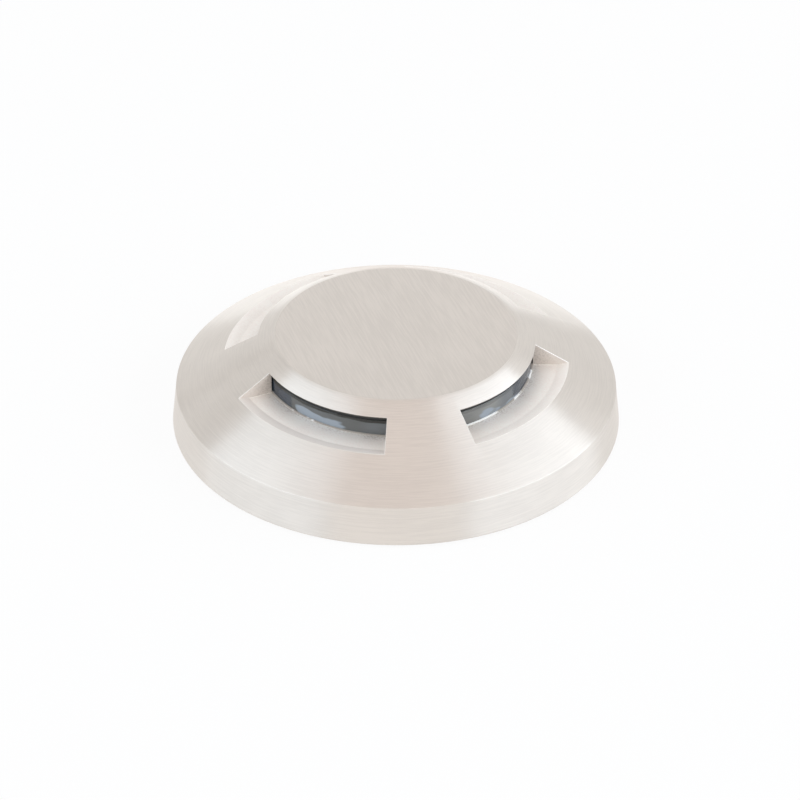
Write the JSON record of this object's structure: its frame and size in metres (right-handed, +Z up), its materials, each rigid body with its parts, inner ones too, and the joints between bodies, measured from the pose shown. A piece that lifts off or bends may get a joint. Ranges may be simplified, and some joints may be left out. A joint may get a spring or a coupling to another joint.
{
  "type": "well light",
  "caption": "Low round ground light: a brushed stainless cap with side windows turns and lifts off a sealed base that holds the light and driver boards.",
  "frame": {"origin": "centre of the underside, in the plane where the foot gasket meets the ground", "axes": "+Z up along the axis of the cap; the centres of the windows lie on -Y, +X, +Y and -X"},
  "size_m": [0.1, 0.1, 0.0222],
  "materials": {
    "brushed_stainless": "brushed round the cone and rim, straight across the flat top",
    "screw_steel": "plain stainless",
    "spring_steel": "dark spring steel",
    "clear_lens": "clear",
    "black_rubber": "matt",
    "polished_aluminium": "polished",
    "cast_aluminium": "as cast",
    "black_nylon": "matt",
    "thermal_pad": "matt",
    "dark_board": "dark solder mask",
    "green_board": "green solder mask",
    "emitter": "phosphor dome",
    "chip_moulding": "moulded",
    "capacitor_sleeve": "shrunk sleeve",
    "inductor_core": "ferrite with a copper winding",
    "green_terminal": "moulded",
    "chip_ceramic": "matt",
    "red_insulation": "soft insulation",
    "black_insulation": "soft insulation"
  },
  "bodies": {
    "base": {"base_casting": "cast_aluminium", "foot_gasket": "black_rubber", "hub_o_ring": "black_rubber", "snap_ring": "spring_steel", "bottom_cover": "black_nylon", "cover_gasket": "black_rubber", "cover_screw_1": "screw_steel", "cover_screw_2": "screw_steel", "cover_screw_3": "screw_steel", "thermal_pad": "thermal_pad", "led_board": "dark_board", "led_emitter_1": "emitter", "led_emitter_2": "emitter", "led_emitter_3": "emitter", "led_emitter_4": "emitter", "led_emitter_5": "emitter", "led_emitter_6": "emitter", "led_emitter_7": "emitter", "led_emitter_8": "emitter", "led_board_screw_1": "screw_steel", "led_board_screw_2": "screw_steel", "led_board_screw_3": "screw_steel", "driver_board": "green_board", "driver_board_screw_1": "screw_steel", "driver_board_screw_2": "screw_steel", "driver_board_screw_3": "screw_steel", "terminal_block": "green_terminal", "terminal_screw_1": "screw_steel", "terminal_screw_2": "screw_steel", "inductor": "inductor_core", "filter_capacitor": "capacitor_sleeve", "rectifier": "chip_moulding", "driver_chip": "chip_moulding", "chip_resistor_1": "chip_ceramic", "chip_resistor_2": "chip_ceramic", "chip_resistor_3": "chip_ceramic", "chip_resistor_4": "chip_ceramic", "positive_lead": "red_insulation", "negative_lead": "black_insulation", "gland_body": "black_nylon", "gland_locknut": "black_nylon", "gland_seal": "black_rubber", "gland_cap": "black_nylon"},
    "swivel": {"swivel_ring": "black_nylon", "cap_o_ring": "black_rubber"},
    "cap": {"top_cap": "brushed_stainless", "lens_ring": "clear_lens", "lens_upper_gasket": "black_rubber", "lens_lower_gasket": "black_rubber", "lens_retainer": "black_nylon", "lens_retainer_screw_1": "screw_steel", "lens_retainer_screw_2": "screw_steel", "lens_retainer_screw_3": "screw_steel", "lens_retainer_screw_4": "screw_steel", "reflector": "polished_aluminium", "reflector_screw": "screw_steel"}
  },
  "joints": [
    {"name": "cap_aim", "type": "hinge", "parent": "base", "child": "swivel", "pos_m": [0, 0, 0], "axis": [0, 0, 1], "continuous": true},
    {"name": "cap_lift", "type": "slide", "parent": "swivel", "child": "cap", "axis": [0, 0, 1], "range_m": [0, 0.03]}
  ]
}
